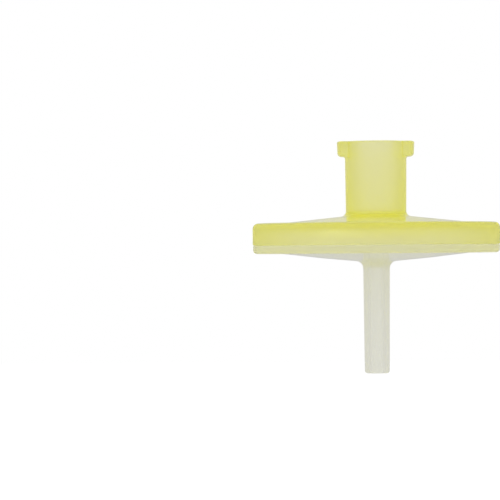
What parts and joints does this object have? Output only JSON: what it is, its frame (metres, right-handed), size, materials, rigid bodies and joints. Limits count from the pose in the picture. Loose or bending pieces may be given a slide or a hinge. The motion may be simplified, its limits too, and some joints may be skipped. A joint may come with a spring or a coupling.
{
  "type": "syringe filter",
  "caption": "Disc-shaped syringe filter with a luer-lock inlet hub on top and a slim outlet tube below, in translucent yellow and natural plastic.",
  "frame": {"origin": "centre of the luer inlet's mouth, on the plane of its rim and lugs", "axes": "+Z along the filter's axis, out of the inlet towards the syringe; the outlet tube runs down -Z and the two lock lugs stand out along +X and -X"},
  "size_m": [0.025, 0.025, 0.0234],
  "materials": {
    "inlet_plastic": "translucent lemon-yellow moulded polypropylene, satin gloss",
    "membrane": "smooth matt white microporous film",
    "outlet_plastic": "translucent natural moulded polypropylene, satin gloss"
  },
  "bodies": {
    "root": {"inlet_housing": "inlet_plastic", "membrane": "membrane", "outlet_housing": "outlet_plastic"}
  },
  "joints": []
}
